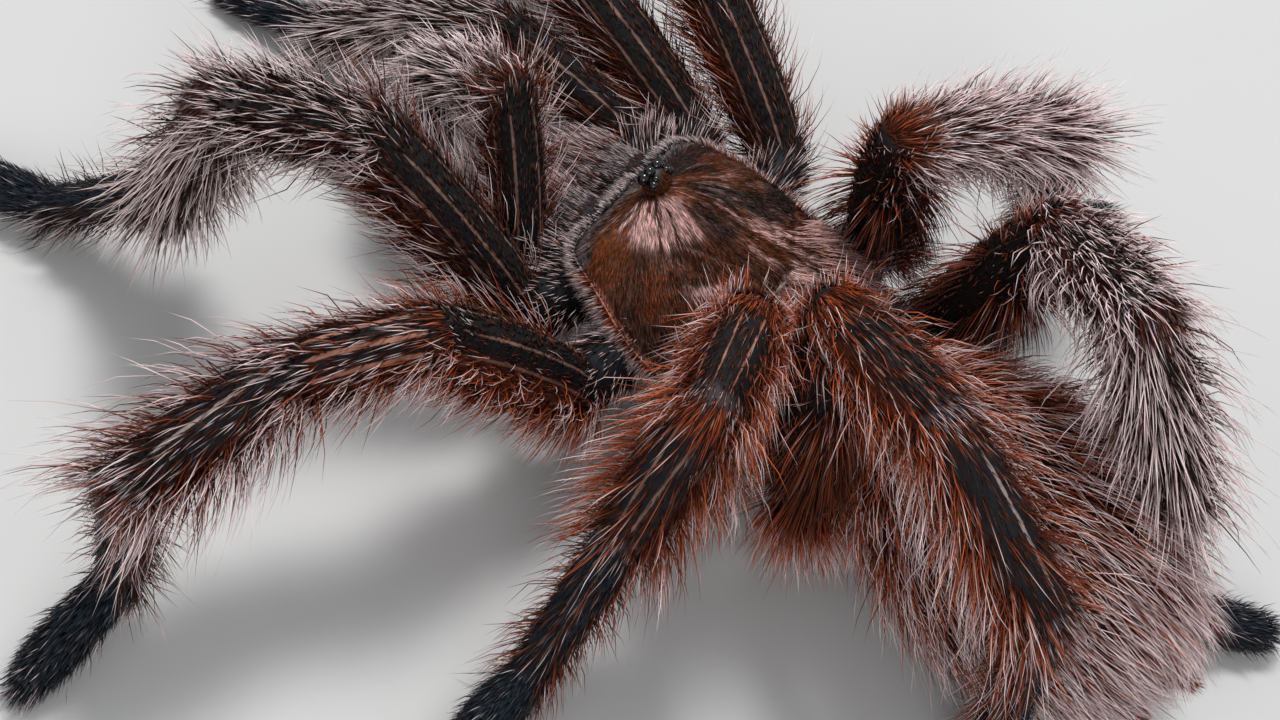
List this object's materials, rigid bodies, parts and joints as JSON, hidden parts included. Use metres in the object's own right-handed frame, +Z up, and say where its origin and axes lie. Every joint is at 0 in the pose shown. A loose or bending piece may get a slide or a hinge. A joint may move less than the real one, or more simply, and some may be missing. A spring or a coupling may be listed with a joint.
{
  "type": "tarantula",
  "caption": "Still life-size model of a furry tarantula standing on the floor, with a shield-like carapace, fangs, palps, arched legs and a rounded abdomen.",
  "frame": {"origin": "middle of the footprint's box, on the floor it stands on", "axes": "+Z up; the head points towards -Y, so the animal's right side is towards -X"},
  "size_m": [0.0842, 0.1072, 0.031],
  "materials": {
    "carapace": "chestnut shell with short flat metallic hair",
    "eyes": "glossy black eyes on a low brown mound",
    "chelicerae": "short flat grey-brown hair with paler long hairs",
    "fangs": "polished black fang",
    "underside": "dark velvet",
    "abdomen": "dark velvet under long rust hairs with pale tips",
    "legs": "blue-black velvet with bald salmon stripes and long rust hairs with pale tips"
  },
  "bodies": {
    "root": {"carapace": "carapace", "eye_tubercle": "eyes", "sternum_and_coxae": "underside", "fang_right": "fangs", "fang_left": "fangs", "chelicera_right": "chelicerae", "chelicera_left": "chelicerae", "spinneret_right": "abdomen", "spinneret_left": "abdomen", "abdomen": "abdomen", "leg3_right_femur": "legs", "leg3_right_patella": "legs", "leg3_right_tibia": "legs", "leg3_right_metatarsus": "legs", "leg3_right_tarsus": "legs", "leg3_left_femur": "legs", "leg3_left_patella": "legs", "leg3_left_tibia": "legs", "leg3_left_metatarsus": "legs", "leg3_left_tarsus": "legs", "leg4_right_femur": "legs", "leg4_right_patella": "legs", "leg4_right_tibia": "legs", "leg4_right_metatarsus": "legs", "leg4_right_tarsus": "legs", "leg4_left_femur": "legs", "leg4_left_patella": "legs", "leg4_left_tibia": "legs", "leg4_left_metatarsus": "legs", "leg4_left_tarsus": "legs", "leg2_right_femur": "legs", "leg2_right_patella": "legs", "leg2_right_tibia": "legs", "leg2_right_metatarsus": "legs", "leg2_right_tarsus": "legs", "leg2_left_femur": "legs", "leg2_left_patella": "legs", "leg2_left_tibia": "legs", "leg2_left_metatarsus": "legs", "leg2_left_tarsus": "legs", "leg1_right_femur": "legs", "leg1_right_patella": "legs", "leg1_right_tibia": "legs", "leg1_right_metatarsus": "legs", "leg1_right_tarsus": "legs", "leg1_left_femur": "legs", "leg1_left_patella": "legs", "leg1_left_tibia": "legs", "leg1_left_metatarsus": "legs", "leg1_left_tarsus": "legs", "palp_right_femur": "legs", "palp_right_patella": "legs", "palp_right_tibia": "legs", "palp_right_tarsus": "legs", "palp_left_femur": "legs", "palp_left_patella": "legs", "palp_left_tibia": "legs", "palp_left_tarsus": "legs"}
  },
  "joints": []
}
